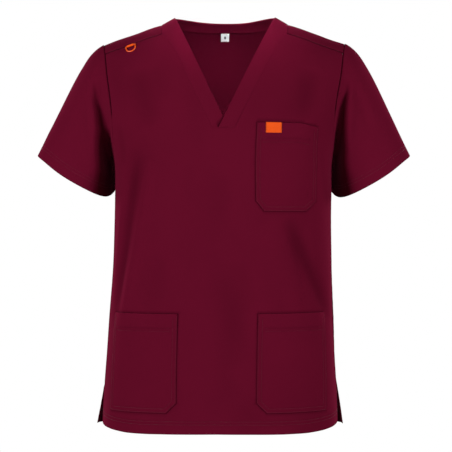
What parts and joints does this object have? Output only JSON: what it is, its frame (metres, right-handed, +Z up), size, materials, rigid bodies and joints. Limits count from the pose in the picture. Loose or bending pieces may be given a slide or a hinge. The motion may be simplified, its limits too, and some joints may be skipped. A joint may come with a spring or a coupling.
{
  "type": "scrub top",
  "caption": "V-neck short-sleeved medical scrub top in wine twill, filled out with no wearer, with a chest pocket, lower patch pockets, side vents and a badge ring at the shoulder.",
  "frame": {"origin": "level with the highest points of the neck, on the garment's middle plane, where the wearer's shoulders hold it up", "axes": "+Z up, -Y out of the garment's front, +X towards the wearer's left"},
  "size_m": [0.6442, 0.253, 0.7043],
  "materials": {
    "cloth": "matt wine-red stretch twill",
    "ribbon": "orange woven ribbon",
    "label": "white woven label",
    "ring": "orange moulded plastic, taken from its look alone"
  },
  "bodies": {
    "top": {"front_panel": "cloth", "back_panel": "cloth", "sleeve_left": "cloth", "sleeve_right": "cloth", "neckband": "cloth", "chest_pocket": "cloth", "lower_pocket_left": "cloth", "lower_pocket_right": "cloth", "pocket_tag": "ribbon", "ring_keeper": "ribbon", "size_label": "label"},
    "ring": {"badge_ring": "ring"}
  },
  "joints": [
    {"name": "ring_swing", "type": "hinge", "parent": "top", "child": "ring", "pos_m": [-0.16011, -0.05448, -0.05464], "axis": [-0.935, 0.1754, -0.3081], "range_deg": [0, 200]}
  ]
}
